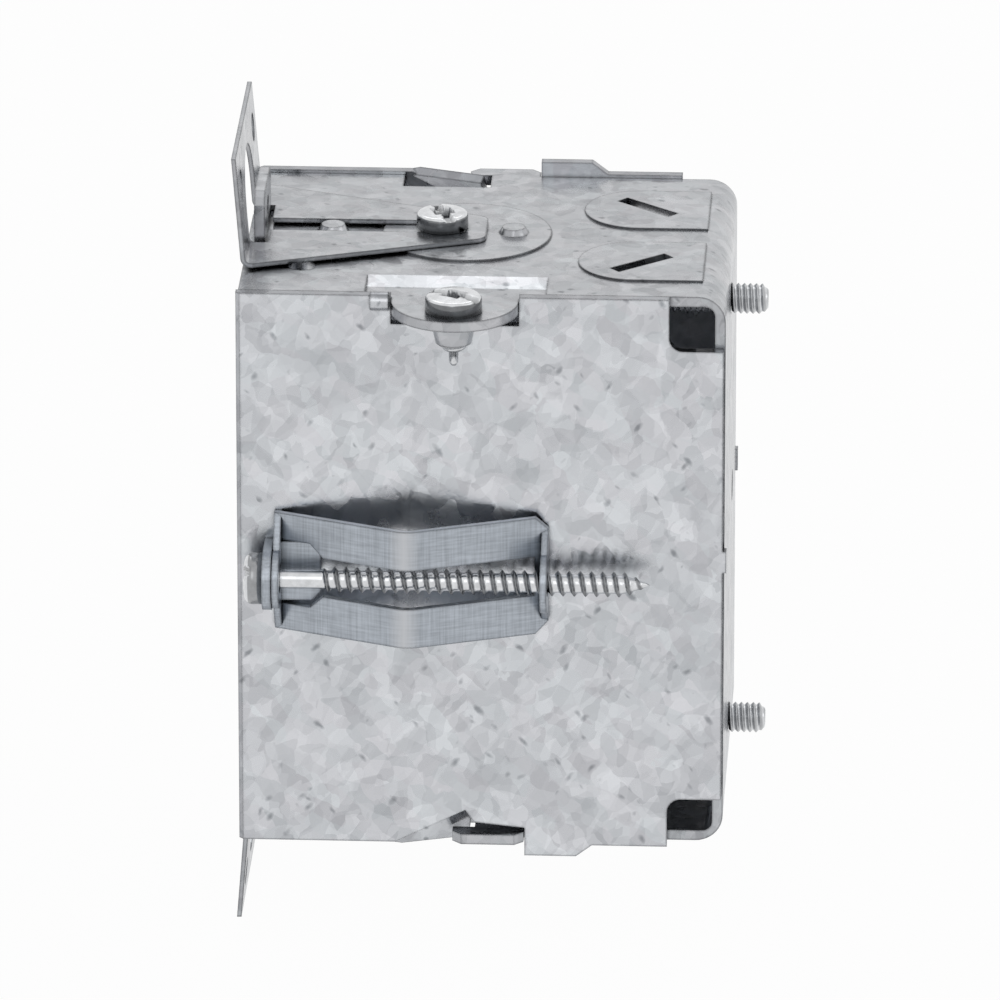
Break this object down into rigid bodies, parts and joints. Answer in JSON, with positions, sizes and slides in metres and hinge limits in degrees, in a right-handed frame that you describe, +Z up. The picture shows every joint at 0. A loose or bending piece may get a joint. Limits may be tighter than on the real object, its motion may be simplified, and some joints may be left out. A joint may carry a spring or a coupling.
{
  "type": "drywall back box",
  "caption": "Sheet steel device box for an existing drywall, with removable sides, slotted ears, folding wall clamps drawn up by long screws, pry-outs and inner cable clamps.",
  "frame": {"origin": "middle of the front opening, in the plane of the front edge, halfway between the two device screw holes", "axes": "+X from the opening to the back of the box, +Y across the box, +Z up towards the top ear"},
  "size_m": [0.0697, 0.0652, 0.1068],
  "materials": {
    "galvanised_sheet": "hot-dip galvanised with a fine spangle",
    "clamp_strip": "zinc-plated strip with fine rolling scratches",
    "zinc_screw": "bright zinc plating"
  },
  "bodies": {
    "box": {"box_body": "galvanised_sheet", "right_side_plate": "galvanised_sheet", "left_side_plate": "galvanised_sheet", "right_clamp_lug": "clamp_strip", "left_clamp_lug": "clamp_strip", "right_wall_clamp": "clamp_strip", "left_wall_clamp": "clamp_strip", "right_side_screw": "zinc_screw", "left_side_screw": "zinc_screw", "top_ear_screw": "zinc_screw", "bottom_ear_screw": "zinc_screw", "bonding_screw": "zinc_screw"},
    "right_clamp_screw": {"right_clamp_screw": "zinc_screw"},
    "left_clamp_screw": {"left_clamp_screw": "zinc_screw"},
    "top_ear": {"top_ear": "galvanised_sheet"},
    "bottom_ear": {"bottom_ear": "galvanised_sheet"},
    "top_cable_clamp": {"top_cable_clamp": "clamp_strip"},
    "bottom_cable_clamp": {"bottom_cable_clamp": "clamp_strip"},
    "top_cable_screw": {"top_cable_screw": "zinc_screw"},
    "bottom_cable_screw": {"bottom_cable_screw": "zinc_screw"}
  },
  "joints": [
    {"name": "top_ear_slide", "type": "slide", "parent": "box", "child": "top_ear", "axis": [1, 0, 0], "range_m": [0, 0.0012]},
    {"name": "bottom_ear_slide", "type": "slide", "parent": "box", "child": "bottom_ear", "axis": [1, 0, 0], "range_m": [0, 0.0012]},
    {"name": "right_clamp_screw_turn", "type": "hinge", "parent": "box", "child": "right_clamp_screw", "pos_m": [0.0033, -0.0285, 0], "axis": [1, 0, 0], "continuous": true},
    {"name": "left_clamp_screw_turn", "type": "hinge", "parent": "box", "child": "left_clamp_screw", "pos_m": [0.0033, 0.0285, 0], "axis": [1, 0, 0], "continuous": true},
    {"name": "top_cable_clamp_travel", "type": "slide", "parent": "box", "child": "top_cable_clamp", "axis": [1, 0, 0], "range_m": [-0.004, 0.0026]},
    {"name": "top_cable_screw_turn", "type": "hinge", "parent": "top_cable_clamp", "child": "top_cable_screw", "pos_m": [0.05295, 0, 0.0297], "axis": [1, 0, 0], "range_deg": [-1860, 1220]},
    {"name": "bottom_cable_clamp_travel", "type": "slide", "parent": "box", "child": "bottom_cable_clamp", "axis": [1, 0, 0], "range_m": [-0.004, 0.0026]},
    {"name": "bottom_cable_screw_turn", "type": "hinge", "parent": "bottom_cable_clamp", "child": "bottom_cable_screw", "pos_m": [0.05295, 0, -0.0297], "axis": [1, 0, 0], "range_deg": [-1860, 1220]}
  ],
  "couplings": [
    {"joint": "top_cable_screw_turn", "follows": "top_cable_clamp_travel", "rad_per_m": 7915.8},
    {"joint": "bottom_cable_screw_turn", "follows": "bottom_cable_clamp_travel", "rad_per_m": 7915.8}
  ]
}
